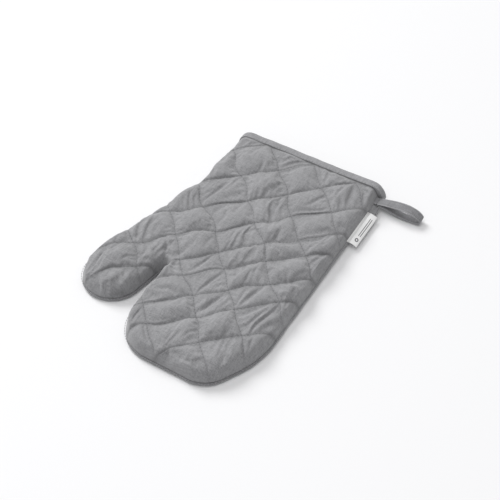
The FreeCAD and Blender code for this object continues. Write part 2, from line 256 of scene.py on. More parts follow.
def is_inside(points):
    start, end = OUTLINE, np.roll(OUTLINE, -1, axis=0)
    x, y = points[:, 0][:, None], points[:, 1][:, None]
    crosses = (start[:, 1] > y) != (end[:, 1] > y)
    rise = np.where(end[:, 1] == start[:, 1], 1, end[:, 1] - start[:, 1])
    edge_x = start[:, 0] + (y - start[:, 1]) / rise * (end[:, 0] - start[:, 0])
    return (crosses & (x < edge_x)).sum(1) % 2 == 1


def inset_of(points):
    """Distance inside the outer edge of the mitt, and the direction that leads inward."""
    foot = nearest_on_outline(points)
    away = points - foot
    distance = np.linalg.norm(away, axis=1)
    sign = np.where(is_inside(points), 1.0, -1.0)
    inward = away * (sign / np.maximum(distance, 1e-9))[:, None]
    return sign * distance + SHELL, inward


def move_to_inset(points, target):
    distance, inward = inset_of(points)
    return points + inward * (target - distance)[:, None]


# %% [markdown]
# ## The quilted panels
# Cloth is quilted flat: two families of stitched rows hold it down, and the wadding lifts
# it into a pillow in every cell. There is always a little too much cloth, so it wrinkles
# where a row gathers it. The panel here starts as a grid whose lines lie exactly on the
# rows. The rows are pinned, and a cloth simulation blows up the cells between them.

# %% The rows of stitches
RISING_ANGLE = math.radians(42.8)
FALLING_ANGLE = math.radians(-48.2)
RISING_ROWS = np.array([-128, -92, -60, -29, -1, 19.5, 44.5, 67.5, 98]) * MM
FALLING_ROWS = np.array([-92, -51.5, -18, 22, 57, 92, 125]) * MM
across_rising = np.array([math.sin(RISING_ANGLE), -math.cos(RISING_ANGLE)])
across_falling = np.array([-math.sin(FALLING_ANGLE), math.cos(FALLING_ANGLE)])
rows_to_plan = np.linalg.inv(np.array([across_rising, across_falling]))
RISING_REACH = (-0.162, 0.142)
FALLING_REACH = (-0.142, 0.158)


def grid_lines(rows, low, high, step):
    """Places of the grid lines across a family of rows. Every row gets a line of its own."""
    stops = np.concatenate([[low], rows, [high]])
    places = [low]
    for start, end in zip(stops[:-1], stops[1:]):
        steps = max(2, round((end - start) / step))
        places.extend(np.linspace(start, end, steps + 1)[1:])
    return np.array(places)


# %% A flat panel cut from the grid
def flat_panel(edge_inset, cuff_end, step):
    """Grid mesh inside the outline; its edge is drawn onto the line edge_inset."""
    rising_lines = grid_lines(RISING_ROWS, *RISING_REACH, step)
    falling_lines = grid_lines(FALLING_ROWS, *FALLING_REACH, step)
    mesh = bmesh.new()
    columns, lines = len(rising_lines) - 1, len(falling_lines) - 1
    bmesh.ops.create_grid(mesh, x_segments=columns, y_segments=lines, size=1)
    flat = np.array([v.co[:2] for v in mesh.verts])
    column = np.rint((flat[:, 0] + 1) / 2 * columns).astype(int)
    line = np.rint((flat[:, 1] + 1) / 2 * lines).astype(int)
    across = np.stack([rising_lines[column], falling_lines[line]], axis=1)
    plan = across @ rows_to_plan.T
    inset, _ = inset_of(plan)
    rising = mesh.verts.layers.float.new("rising")
    falling = mesh.verts.layers.float.new("falling")
    for v, place, offsets in zip(mesh.verts, plan, across):
        v.co = (*place, 0)
        v[rising], v[falling] = offsets
    outside = (inset < edge_inset - 0.35 * step) | (plan[:, 1] > cuff_end + 0.35 * step)
    bmesh.ops.delete(mesh, geom=[v for v, cut in zip(mesh.verts, outside) if cut],
                     context="VERTS")
    bmesh.ops.delete(mesh, geom=[v for v in mesh.verts if len(v.link_faces) < 2],
                     context="VERTS")
    rim = [v for v in mesh.verts if v.is_boundary]
    places = np.array([v.co[:2] for v in rim])
    at_cuff = places[:, 1] > cuff_end - 0.8 * step
    places = np.where(at_cuff[:, None], places, move_to_inset(places, edge_inset))
    for v, place, cuffed in zip(rim, places, at_cuff):
        v.co = (place[0], cuff_end if cuffed else min(place[1], cuff_end), 0)
    return mesh


def plan_of(mesh):
    return np.array([v.co[:2] for v in mesh.verts])


def layer_of(mesh, name):
    layer = mesh.verts.layers.float[name]
    return np.array([v[layer] for v in mesh.verts])


def new_piece(name, mesh, paint, body, smooth=1):
    """Object for a finished mesh, painted, smoothed and riding on its body."""
    data = bpy.data.meshes.new(name)
    mesh.to_mesh(data)
    mesh.free()
    data.shade_smooth()
    data.materials.append(paint)
    piece = bpy.data.objects.new(name, data)
    bpy.context.collection.objects.link(piece)
    if smooth:
        surface = piece.modifiers.new("smooth", "SUBSURF")
        surface.levels = surface.render_levels = smooth
    if body:
        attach(piece, body)
    return piece


trial = flat_panel(3 * MM, CUFF_Y, 6 * MM)
print("a coarse trial panel has", len(trial.verts), "points")
trial.free()

# %% [markdown]
# The rows of stitches lie on a low cushion. Its back dives to the seam at the edge, lower
# over the thumb and at the cuff than in the middle. Its palm lies flat on the table.

# %% Heights of the rows
BAND_EDGE = binding_low[1]
PANEL_END = CUFF_Y - 1.5 * MM
BACK_INSET = 1.9 * MM
PALM_INSET = 5 * MM
STITCHED_HEIGHT = 17.5 * MM
THUMB_HEIGHT = 17.5 * MM
CUFF_HEIGHT = 17 * MM
SHOULDER = 12.5 * MM
SLUMP = 9 * MM
SLUMPS_TO = np.array([-0.85, 0.85])
CROTCH = np.array([-51, -47.5]) * MM
TIP_SEAM_Z = 4.3 * MM
PALM_HEIGHT = 2.4 * MM
LIFT = 1.2 * MM
TABLE_GAP = 0.35 * MM


def ease(value, start, end):
    t = np.clip((value - start) / (end - start), 0, 1)
    return t * t * (3 - 2 * t)


def seam_height(plan):
    """The seam drops where the cloth is soft, at the fingers and the thumb."""
    return TIP_SEAM_Z + (SEAM_Z - TIP_SEAM_Z) * ease(plan[:, 1], -10 * MM, 65 * MM)


def ripple(plan, scale, seed):
    return np.array([noise.noise(Vector((x / scale, y / scale, seed))) for x, y in plan])


def back_height(plan):
    inset, inward = inset_of(plan)
    x, y = plan.T
    thumb = ease(-x, 40 * MM, 75 * MM) * ease(-y, -40 * MM, 40 * MM)
    crown = STITCHED_HEIGHT + thumb * (THUMB_HEIGHT - STITCHED_HEIGHT)
    crown += ease(y, 60 * MM, 135 * MM) * (CUFF_HEIGHT - crown)
    crown += LIFT * ripple(plan, 48 * MM, 3.1)
    near_side = np.clip(inward @ SLUMPS_TO, 0, 1) * (1 - ease(y, 100 * MM, 130 * MM))
    taut = 1 - 0.5 * np.exp(-((plan - CROTCH) ** 2).sum(1) / (20 * MM) ** 2)
    t = np.clip((inset - BACK_INSET) / (SHOULDER + SLUMP * near_side) / taut, 0, 1)
    seam = seam_height(plan)
    return seam + (crown - seam) * np.sqrt(1 - (1 - t) ** 2)


def palm_height(plan):
    inset, _ = inset_of(plan)
    edge = 1 - ease(inset, PALM_INSET, 12 * MM)
    return PALM_HEIGHT - 1.1 * MM * edge


def cell_place(offsets, rows):
    """How far a point is across its own cell, from 0 at one row to 1 at the next."""
    ends = np.concatenate([[rows[0] - 36 * MM], rows, [rows[-1] + 36 * MM]])
    at = np.clip(np.searchsorted(ends, offsets, side="right") - 1, 0, len(ends) - 2)
    return np.clip((offsets - ends[at]) / (ends[at + 1] - ends[at]), 0, 1)


def pillow_of(mesh, edge_inset):
    """1 in the middle of a cell and 0 on its rows, at the edge and under the binding."""
    plan = plan_of(mesh)
    inset, _ = inset_of(plan)
    u = cell_place(layer_of(mesh, "rising"), RISING_ROWS)
    w = cell_place(layer_of(mesh, "falling"), FALLING_ROWS)
    calm = ease(inset, edge_inset, 8 * MM) * ease(BAND_EDGE - plan[:, 1], 0, 6 * MM)
    return np.sqrt(np.clip(np.sin(np.pi * u) * np.sin(np.pi * w), 0, 1)) * calm


print("cushion", round(STITCHED_HEIGHT / MM, 1), "mm high at its rows")

# %% [markdown]
# ## Sewing and blowing up
# Before it is sewn, the cloth is cut a little too wide. The shape key carries its pinned
# points from where they were cut to where they are sewn, so the spare width has to go
# somewhere: it buckles into the creases that cross the cells. A real quilter gets them in
# the same way.

# %% The simulation
WIDTH_SLACK = 0.062
LENGTH_SLACK = 0.015
SEWN_BY = 12
FRAMES = 26
DRIFT = 5 * MM


def blow_up(piece, plan, height, held):
    """Cloth simulation of the cells, with the stitches and the edge held.

    noise_vector depends on when Blender was started, so the creases are a little
    different each time the script runs. Everything else that goes in stays the same."""
    spread = np.array([noise.noise_vector(Vector((x, y, 0)) / (45 * MM)) for x, y in plan])
    cut_plan = plan * (1 + WIDTH_SLACK, 1 + LENGTH_SLACK) + spread[:, :2] * 2.4 * MM
    as_cut = np.column_stack([cut_plan, height]).ravel()
    basis = piece.shape_key_add(name="as cut")
    sewn = piece.shape_key_add(name="sewn")
    basis.data.foreach_set("co", as_cut)
    sewn.data.foreach_set("co", np.column_stack([plan, height]).ravel())
    piece.data.vertices.foreach_set("co", as_cut)
    for frame_number, value in ((1, 0), (SEWN_BY, 1)):
        sewn.value = value
        sewn.keyframe_insert("value", frame=frame_number)
    group = piece.vertex_groups.new(name="held")
    group.add(np.flatnonzero(held).tolist(), 1.0, "REPLACE")
    cloth = piece.modifiers.new("cloth", "CLOTH")
    cloth.collision_settings.use_collision = False
    cloth.point_cache.frame_start, cloth.point_cache.frame_end = 1, FRAMES
    settings = cloth.settings
    settings.quality = 6
    settings.mass = 0.15
    settings.tension_stiffness = 12
    settings.compression_stiffness = 12
    settings.shear_stiffness = 4
    settings.bending_stiffness = 2
    settings.use_pressure = True
    settings.uniform_pressure_force = 60
    settings.effector_weights.gravity = 0
    settings.vertex_group_mass = "held"
    settings.pin_stiffness = 5
    for number in range(1, FRAMES + 1):
        bpy.context.scene.frame_set(number)
    evaluated = piece.evaluated_get(bpy.context.evaluated_depsgraph_get())
    moved = np.empty(len(evaluated.data.vertices) * 3)
    evaluated.data.vertices.foreach_get("co", moved)
    piece.modifiers.remove(cloth)
    piece.shape_key_clear()
    piece.vertex_groups.clear()
    bpy.context.scene.frame_set(1)
    return moved.reshape(-1, 3)


def sideways(plan, edge_inset):
    """How far gathered cloth has carried its rows along with it."""
    inset, _ = inset_of(plan)
    calm = ease(inset, edge_inset, 22 * MM) * ease(PANEL_END - plan[:, 1], 2 * MM, 20 * MM)
    drift = np.array([noise.noise_vector(Vector((x, y, 0.03)) / (26 * MM)) for x, y in plan])
    return DRIFT * drift[:, :2] * calm[:, None] + flare(plan)


def flare(plan):
    """The corner of the cuff, stiff with folded cloth, stands out from the side."""
    x, y = plan[:, 0], plan[:, 1]
    out = 2.8 * MM * ease(y, 130 * MM, 137 * MM) * ease(x, 45 * MM, 76 * MM)
    return np.column_stack([out, 0 * out])


def row_distance(mesh):
    rising = np.abs(layer_of(mesh, "rising")[:, None] - RISING_ROWS).min(1)
    falling = np.abs(layer_of(mesh, "falling")[:, None] - FALLING_ROWS).min(1)
    return rising, falling


def extrude_rim(mesh, steps):
    """Adds rings beyond the sewn edge: (inset function, share of the seam height, painted shade). The
    painted shade darkens the rings where the edge turns down into the seam.
    """
    crease = mesh.verts.layers.float["crease"]
    rim = [e for e in mesh.edges if e.is_boundary
           and min(v.co.y for v in e.verts) < PANEL_END - 0.01 * MM]
    for inset, height, rim_shade in steps:
        made = bmesh.ops.extrude_edge_only(mesh, edges=rim)["geom"]
        ring = [g for g in made if isinstance(g, bmesh.types.BMVert)]
        rim = [g for g in made if isinstance(g, bmesh.types.BMEdge) and g.is_boundary
               and all(v in set(ring) for v in g.verts)]
        places = np.array([v.co[:2] for v in ring])
        moved = move_to_inset(places, inset(places)) + flare(places)
        level = height * seam_height(places)
        for v, place, old, z in zip(ring, moved, places, level):
            v.co = (place[0], old[1] if old[1] > PANEL_END - 0.01 * MM else place[1], z)
            v[crease] = rim_shade


def quilted_panel(name, edge_inset, stitched, facing, first_puff, paint):
    """A panel of pillows. stitched gives the height of its rows; facing is 1 up, -1 down."""
    mesh = flat_panel(edge_inset, PANEL_END, 1.4 * MM)
    if facing < 0:
        bmesh.ops.reverse_faces(mesh, faces=mesh.faces)
    plan = plan_of(mesh)
    height = stitched(plan) + facing * first_puff * pillow_of(mesh, edge_inset)
    rising, falling = row_distance(mesh)
    held = (np.minimum(rising, falling) < 1e-6) | (plan[:, 1] > BAND_EDGE - 1 * MM)
    held |= np.array([v.is_boundary for v in mesh.verts])
    # Painted shade: each point gets a darkening for its colour, strongest along the rising rows, weaker
    # along the falling rows, and a dark line of painted shadow beside the binding's edge where the puffs
    # shade it.
    crease = mesh.verts.layers.float.new("crease")
    band_edge_shadow = np.exp(-((plan[:, 1] - BAND_EDGE) / (1.5 * MM)) ** 2) * 2.4
    for v, near_rising, near_falling, band in zip(mesh.verts, rising, falling, band_edge_shadow):
        v[crease] = max(math.exp(-(near_rising / (1.7 * MM)) ** 2),
                        0.5 * math.exp(-(near_falling / (1.2 * MM)) ** 2), band)
    piece = new_piece(name, mesh, paint, "mitt", 0)
    return piece, blow_up(piece, plan, height, held)


def finish_panel(piece, moved, rim_steps):
    """Gives the panel its blown up shape and turns its edge into the seam."""
    mesh = bmesh.new()
    mesh.from_mesh(piece.data)
    for v, place in zip(mesh.verts, moved):
        v.co = place
    extrude_rim(mesh, rim_steps)
    mesh.to_mesh(piece.data)
    mesh.free()
    piece.data.shade_smooth()
    surface = piece.modifiers.new("smooth", "SUBSURF")
    surface.levels = surface.render_levels = 1


# %% [markdown]
# ## Cotton
# Plain woven cotton is matt and never one even grey: some threads are paler than others, and slubs make
# short streaks both ways. On the panels, shade is painted into its colour in the creases of the quilting,
# beside the binding and down into the seam.

# %% Cotton materials
def cotton(name, grey, painted_shade_strength=0.0, edged=False):
    made, shader = material(name, 0.92, 0.3)
    place = Socket.node("TexCoord", out="Object")
    fine = Socket.node("TexNoise", Vector=place, Scale=900, Detail=2)
    wide = Socket.node("TexNoise", Vector=place, Scale=34, Detail=3)
    warp = Socket.node("Mapping", Vector=place, Scale=(1400, 130, 400))
    weft = Socket.node("Mapping", Vector=place, Scale=(130, 1400, 400))
    slubs = Socket.node("TexNoise", Vector=warp, Scale=1, Detail=1) \
        + Socket.node("TexNoise", Vector=weft, Scale=1, Detail=1)
    shade = (fine - 0.5) * 0.55 + (wide - 0.5) * 0.3 + (slubs - 1) * 0.55 + 1
    # Painted shade: the colour is darkened by the per-point painted shade of the panels, in the creases
    # along the rows, beside the binding and in the seam.
    if painted_shade_strength:
        shade = shade * (1 - Socket.node("Attribute", {"attribute_name": "crease"}, out="Fac")
                         * painted_shade_strength)
    if edged:
        side = Socket.node("Attribute", {"attribute_name": "across"}, out="Fac").maths("ABSOLUTE")
        stripes = [(0, 0.5), (0.6, 0.5), (0.7, 0.38), (0.78, 0.66), (1, 0.6)]
        shade = shade * Socket.node("ValToRGB", {"stops": stripes}, Fac=side) * 2
    paint = Socket.node("CombineColor", Red=shade * grey[0], Green=shade * grey[1],
                        Blue=shade * grey[2])
    feed(shader, "Base Color", paint)
    bump = Socket.node("Bump", Strength=0.35, Distance=0.25 * MM, Height=fine + slubs)
    feed(shader, "Normal", bump)
    return made


# The outer cotton carries painted shade in its creases and at its seam.
outer_paint = cotton("grey_cotton", (0.262, 0.262, 0.271), 0.34)
lining_paint = cotton("pale_lining_cotton", (0.33, 0.33, 0.34))
binding_paint = cotton("binding_cloth", (0.262, 0.262, 0.272))
thread_paint, thread_shader = material("polyester_thread", 0.6)
thread_shader.inputs["Base Color"].default_value = (0.17, 0.17, 0.18, 1)
print("cotton for", outer_paint.name, lining_paint.name, binding_paint.name)

# %% [markdown]
# ## The back panel
# The back is the panel that shows. After the simulation it gets the few folds that the
# crotch of the thumb pulls into it, and its edge is turned down into the seam.

# %% Back of the mitt
LEAN = 3.4 * MM
LEAN_FROM = np.array([0.8, -0.6])
FOLDS = (((-51, -45), (-70, -16), 2.4, 3.2), ((-49, -44), (-37, 2), 2.0, 3.4),
         ((-48, -45), (-30, -37), 1.6, 2.8), ((-48, -47), (-24, -44), 1.5, 2.8),
         ((-50, -44), (-55, -22), 1.4, 2.8), ((-54, -47), (-76, -45), 1.9, 2.8),
         ((-55, -49), (-70, -57), 1.5, 2.6), ((-86, -28), (-97, -70), 1.1, 3.0))


def bulged(places):
    """The padding leans out over the seam, most of all on the side the mitt was laid from."""
    inset, inward = inset_of(places[:, :2])
    lean = np.clip(inward @ LEAN_FROM, 0, 1) * LEAN + 0.4 * MM
    out = lean * ease(inset, BACK_INSET, 7 * MM) * (1 - ease(inset, 10 * MM, 34 * MM))
    out *= 1 - ease(places[:, 1], 95 * MM, 128 * MM)
    places[:, :2] -= inward * out[:, None]
    return places


def folded(places):
    """Presses the folds in: start, end, depth and half width of each, in millimetres."""
    plan = places[:, :2].copy()
    for start, end, depth, width in FOLDS:
        start, run = np.array(start) * MM, (np.array(end) - start) * MM
        along = np.clip(((plan - start) @ run) / (run @ run), 0, 1)
        bend = 2 * MM * np.sin(3 * along)[:, None] * np.array([run[1], -run[0]])
        away = plan - start - along[:, None] * run - bend / np.linalg.norm(run)
        near = np.exp(-(away ** 2).sum(1) / (width * MM / 1.6) ** 2)
        places[:, 2] -= depth * MM * near * (1 - along ** 2)
    places[:, :2] += sideways(plan, BACK_INSET)
    return places


back, moved = quilted_panel("quilted_back", BACK_INSET, back_height, 1, 4 * MM, outer_paint)
# The last number of each ring is painted shade in the seam groove.
back_rings = ((lambda places: 2.3 * MM, 0.95, 1.8), (lambda places: 3.0 * MM, 0.9, 2))
finish_panel(back, bulged(folded(moved)), back_rings)
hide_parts("outer_shell_top", "wadding_top")
print("back has", len(back.data.vertices), "points and is",
      round(moved[:, 2].max() / MM, 1), "mm high")

# %% [markdown]
# ## The palm panel
# The palm lies on the table, so its cells are pressed flat. Only its edge shows, rolled up
# towards the seam.

# %% Palm of the mitt
def palm_edge(inset):
    """The inset of one ring of the rolled edge, a little uneven all the way round."""
    def wavy(places):
        hidden = np.clip(inset_of(places)[1] @ LEAN_FROM, 0, 1) * 1.4 * MM
        return inset * MM + 0.35 * MM * ripple(places, 14 * MM, 7.7) + hidden
    return wavy


palm, moved = quilted_panel("quilted_palm", PALM_INSET, palm_height, -1, 2 * MM, outer_paint)
moved[:, 2] = np.maximum(moved[:, 2], TABLE_GAP)
moved[:, :2] += sideways(moved[:, :2], PALM_INSET)
# The last number of each ring is painted shade in the seam groove.
palm_rings = ((3.9, 0.16, 0), (2.8, 0.2, 0), (1.9, 0.3, 0), (1.35, 0.44, 0), (1.2, 0.58, 0),
              (1.35, 0.72, 0), (1.8, 0.83, 0), (2.4, 0.9, 1), (3.0, 0.93, 2), (3.6, 0.88, 2))
finish_panel(palm, moved, tuple((palm_edge(inset), *rest) for inset, *rest in palm_rings))
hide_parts("outer_shell_bottom", "wadding_bottom")
print("palm has", len(palm.data.vertices), "points")

# %% [markdown]
# ## The linings
# Inside, each panel shows its other face: a lining that bulges into the hand's space less
# than the outside does. It is made from the same rows, more coarsely, and needs no
# simulation because only its first centimetres can be seen through the cuff.

# %% Linings
LINING_INSET = 4.2 * MM
PADDING = 2.1 * MM


def lining(name, side_height, facing, puff, replaced):
    mesh = flat_panel(LINING_INSET, PANEL_END, 3.5 * MM)
    if facing > 0:
        bmesh.ops.reverse_faces(mesh, faces=mesh.faces)
    plan = plan_of(mesh)
    inset, _ = inset_of(plan)
    padding = PADDING + puff * pillow_of(mesh, LINING_INSET)
    away_from_cuff = ease(BAND_EDGE - plan[:, 1], 0, 20 * MM)
    padding += 4 * MM * (1 - ease(inset, 4 * MM, 22 * MM)) * away_from_cuff
    height = side_height(plan) - facing * padding
    level = seam_height(plan) + facing * 0.9 * MM * ease(inset, 3 * MM, 14 * MM)
    height = np.maximum(height, level) if facing > 0 else np.minimum(height, level)
    plan += flare(plan)
    for v, place, z in zip(mesh.verts, plan, height):
        v.co = (*place, z)
    piece = new_piece(name, mesh, lining_paint, "mitt")
    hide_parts(*replaced)
    return piece


back_lining = lining("back_lining", back_height, 1, 3 * MM, ["lining_top"])
palm_lining = lining("palm_lining", palm_height, -1, 2 * MM, ["lining_bottom"])
print("linings of", len(back_lining.data.vertices), "and",
      len(palm_lining.data.vertices), "points")

# %% [markdown]
# ## The binding
# A strip of the same cotton is folded over the raw edge, all the way round the opening.
# Its section is a narrow U, drawn round a ring that runs along the back panel, down the
# side, back along the palm and up again. Each point of the section is a place between the
# outer ring and a smaller one inside it.

# %% Binding of the cuff
def cuff_ring(count):
    """Closed line round the outside of the two panels where the binding sits."""
    side = OUTLINE[-1, 0] + SHELL
    left = OUTLINE[0, 0] - SHELL
    if left > side:
        left, side = OUTLINE[-1, 0] - SHELL, OUTLINE[0, 0] + SHELL
    x = np.linspace(left + BACK_INSET, side - BACK_INSET, 200)
    along = np.column_stack([x, np.full(200, CUFF_Y - 5 * MM)])
    top = np.column_stack([x, back_height(along)])
    x = np.linspace(side - PALM_INSET, left + PALM_INSET, 200)
    bottom = np.column_stack([x, np.full(200, PALM_HEIGHT - 0.6 * MM)])
    right_side = np.array([[side - inset * MM, z * MM] for inset, z in
                           ((1.4, 6.2), (0.6, 4.6), (0.7, 3.2), (2.0, 2.0))])
    left_side = np.array([[left + inset * MM, z * MM] for inset, z in
                          ((2.0, 2.0), (0.7, 3.2), (0.6, 4.6), (1.4, 6.2))])
    line = np.vstack([top, right_side, bottom, left_side])
    closed = np.vstack([line, line[:1]])
    length = np.concatenate([[0], np.cumsum(np.linalg.norm(np.diff(closed, axis=0), axis=1))])
    at = np.linspace(0, length[-1], count, endpoint=False)
    ring = np.column_stack([np.interp(at, length, closed[:, k]) for k in (0, 1)])
    for _ in range(3):
        ring = (np.roll(ring, 1, axis=0) + 2 * ring + np.roll(ring, -1, axis=0)) / 4
    return ring + flare(np.column_stack([ring[:, 0], np.full(len(ring), CUFF_Y - 3 * MM)]))


def sway_of(x, z):
    """How far a folded strip wanders along the sleeve as it goes round."""
    return 0.8 * MM * noise.noise(Vector((x / (16 * MM), 2.0, z / (9 * MM))))


# Each corner of the section: its place from the outer ring (0) to the inner one (1), and
# its distance from the cuff's edge in millimetres.
BAND_SECTION = ((0.0, -8.1), (-0.3, -8.1), (-0.4, -7.6), (-0.32, -6.6), (-0.36, -4), (-0.32, -1.6),
                (-0.12, -0.45), (0.3, 0), (0.75, -0.1), (1.1, -0.6), (1.25, -1.6),
                (1.27, -4.5), (1.24, -7.4), (1.15, -8.0), (0.95, -8.1))
ring = cuff_ring(260)
middle = np.array([ring[:, 0].mean(), SEAM_Z - 0.1 * MM])
half = np.abs(ring - middle).max(0)
inner = middle + (ring - middle) * (1 - np.array([3.0 * MM, 2.5 * MM]) / half)
mesh = bmesh.new()
bmesh.ops.create_circle(mesh, cap_ends=False, segments=len(ring), radius=1)
loops = [list(mesh.verts)]
edges = list(mesh.edges)
for _ in BAND_SECTION[1:]:
    made = bmesh.ops.extrude_edge_only(mesh, edges=edges)["geom"]
    edges = [g for g in made if isinstance(g, bmesh.types.BMEdge) and len(g.link_faces) == 1]
    loops.append([g for g in made if isinstance(g, bmesh.types.BMVert)])
bmesh.ops.bridge_loops(mesh, edges=edges + [e for e in mesh.edges if e.is_boundary
                                            and e not in set(edges)])
for loop, (share, y) in zip(loops, BAND_SECTION):
    for v in loop:
        turn = math.atan2(v.co.y, v.co.x) % math.tau
        at = round(turn / math.tau * len(ring)) % len(ring)
        x, z = ring[at] + share * (inner[at] - ring[at])
        dent = 0.16 * MM * noise.noise(Vector((x / (3.5 * MM), y / 3, z / (5 * MM))))
        v.co = (x, CUFF_Y + y * MM + sway_of(x, z), max(z + dent, TABLE_GAP))
bmesh.ops.recalc_face_normals(mesh, faces=mesh.faces)
binding = new_piece("cuff_binding_band", mesh, binding_paint, "mitt")
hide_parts("cuff_binding")
print("binding round", round(np.abs(ring[:, 0]).max() * 2 / MM), "mm of cuff")

# %% [markdown]
# ## Stitches
# Every stitch is its own short capsule of thread. A ray is dropped on the finished cloth
# at both of its ends, so it follows the cloth and sinks into the crease it made.

# %% Stitches
def surface_of(piece):
    return BVHTree.FromObject(piece, bpy.context.evaluated_depsgraph_get())


def stitch(mesh, start, end, radius):
    """One capsule from start to end."""
    run = end - start
    turn = run.to_track_quat("X", "Z").to_matrix().to_4x4()
    size = Matrix.Diagonal((run.length / 2, radius, radius, 1))
    place = Matrix.Translation((start + end) / 2)
    bmesh.ops.create_icosphere(mesh, subdivisions=1, radius=1, matrix=place @ turn @ size)


def row_stitches(name, panel, shaped, facing, replaced):
    surface = surface_of(panel)
    mesh = bmesh.new()
    above = SEAM_Z + facing * 60 * MM
    step, length = 3.1 * MM, 2.3 * MM
    families = ((RISING_ROWS, 0), (FALLING_ROWS, 1))
    for rows, across in families:
        for row in rows:
            along = np.arange(-0.19, 0.19, step)
            offsets = np.full((len(along), 2), row)
            offsets[:, 1 - across] = along
            first = offsets @ rows_to_plan.T
            offsets[:, 1 - across] += length
            last = offsets @ rows_to_plan.T
            inset = np.minimum(inset_of(first)[0], inset_of(last)[0])
            clear = (inset > 6 * MM) & (np.maximum(first[:, 1], last[:, 1]) < BAND_EDGE - 1 * MM)
            first, last = shaped(first), shaped(last)
            for a, b in zip(first[clear], last[clear]):
                ends = [surface.ray_cast(Vector((*p, above)), Vector((0, 0, -facing)))[0]
                        for p in (a, b)]
                if None not in ends:
                    lift = Vector((0, 0, 0.05 * MM * facing))
                    stitch(mesh, ends[0] + lift, ends[1] + lift, 0.24 * MM)
    count = len(mesh.verts) // 12
    piece = new_piece(name, mesh, thread_paint, "mitt", 0)
    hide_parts(*replaced)
    return count


def back_shaped(plan):
    return bulged(plan + sideways(plan, BACK_INSET))


def palm_shaped(plan):
    return plan + sideways(plan, PALM_INSET)


back_count = row_stitches("back_stitches", back, back_shaped, 1, ["quilting_thread_top"])
palm_count = row_stitches("palm_stitches", palm, palm_shaped, -1, ["quilting_thread_bottom"])
print(back_count, "stitches on the back and", palm_count, "on the palm")


# %% Stitches along the binding and the seam
def line_stitches(name, points, pitch, length, radius, replaced):
    """Stitches along a polyline of 3-D points."""
    run = np.concatenate([[0], np.cumsum(np.linalg.norm(np.diff(points, axis=0), axis=1))])
    mesh = bmesh.new()
    for start in np.arange(pitch / 2, run[-1] - length, pitch):
        a, b = (Vector([np.interp(at, run, points[:, k]) for k in range(3)])
                for at in (start, start + length))
        stitch(mesh, a, b, radius)
    piece = new_piece(name, mesh, thread_paint, "mitt", 0)
    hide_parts(*replaced)


outward = (ring - inner) / np.linalg.norm(ring - inner, axis=1)[:, None]
around = ring + 0.29 * (ring - inner) + outward * 0.12 * MM
sway = np.array([sway_of(x, z) for x, z in ring])
line = np.column_stack([around[:, 0], BAND_EDGE + 0.95 * MM + sway,
                        np.maximum(around[:, 1], TABLE_GAP + 0.2 * MM)])
line_stitches("binding_stitches", np.vstack([line, line[:1]]), 3.2 * MM, 2.4 * MM, 0.2 * MM,
              ["binding_thread"])
sewn = move_to_inset(OUTLINE[1:-1], 2.1 * MM)
line = np.column_stack([sewn, seam_height(sewn) * 0.97])
line_stitches("seam_stitches", line, 3 * MM, 2.3 * MM, 0.3 * MM, ["seam_thread"])
print("stitches round the binding and along the seam")

# %% [markdown]
# ## The hanging loop
# The loop is one strip of woven tape. Both ends are caught in the seam, one over the
# other. The upper strand springs up a little and the lower one sags to the table, which
# leaves an eye between them. The strip is a rounded section carried along that path. Its
# root stays with the seam and the next few millimetres bend when the loop swings.

# %% Loop of tape
TAPE_WIDTH = loop_high[1] - loop_low[1] - 0.5 * MM
TAPE_THICKNESS = 0.9 * MM
# Distance from the seam and height of the strip's middle, in millimetres.
LOOP_PATH = ((0.2, 8.35), (5, 9.7), (12, 11.4), (20, 12.8), (28, 13.1), (34, 12.2), (39.5, 10.2),
             (43.2, 7.6), (44.6, 5.2), (43.5, 3.1), (40, 1.9), (35, 1.5), (28, 1.8),
             (21, 2.8), (14.5, 4.5), (8, 6.4), (3.5, 7.15), (0.2, 7.25))


def through(points, count):
    """Smooth curve through the points, evenly spaced."""
    points = np.array(points, float)
    ends = np.vstack([2 * points[0] - points[1], points, 2 * points[-1] - points[-2]])
    dense = []
    for a, b, c, d in zip(ends[:-3], ends[1:-2], ends[2:-1], ends[3:]):
        for t in np.linspace(0, 1, 20, endpoint=False):
            dense.append(0.5 * (2 * b + (c - a) * t + (2 * a - 5 * b + 4 * c - d) * t ** 2
                                + (3 * b - a - 3 * c + d) * t ** 3))
    dense = np.array(dense + [points[-1]])
    run = np.concatenate([[0], np.cumsum(np.linalg.norm(np.diff(dense, axis=0), axis=1))])
    at = np.linspace(0, run[-1], count)
    return np.column_stack([np.interp(at, run, dense[:, k]) for k in range(dense.shape[1])])


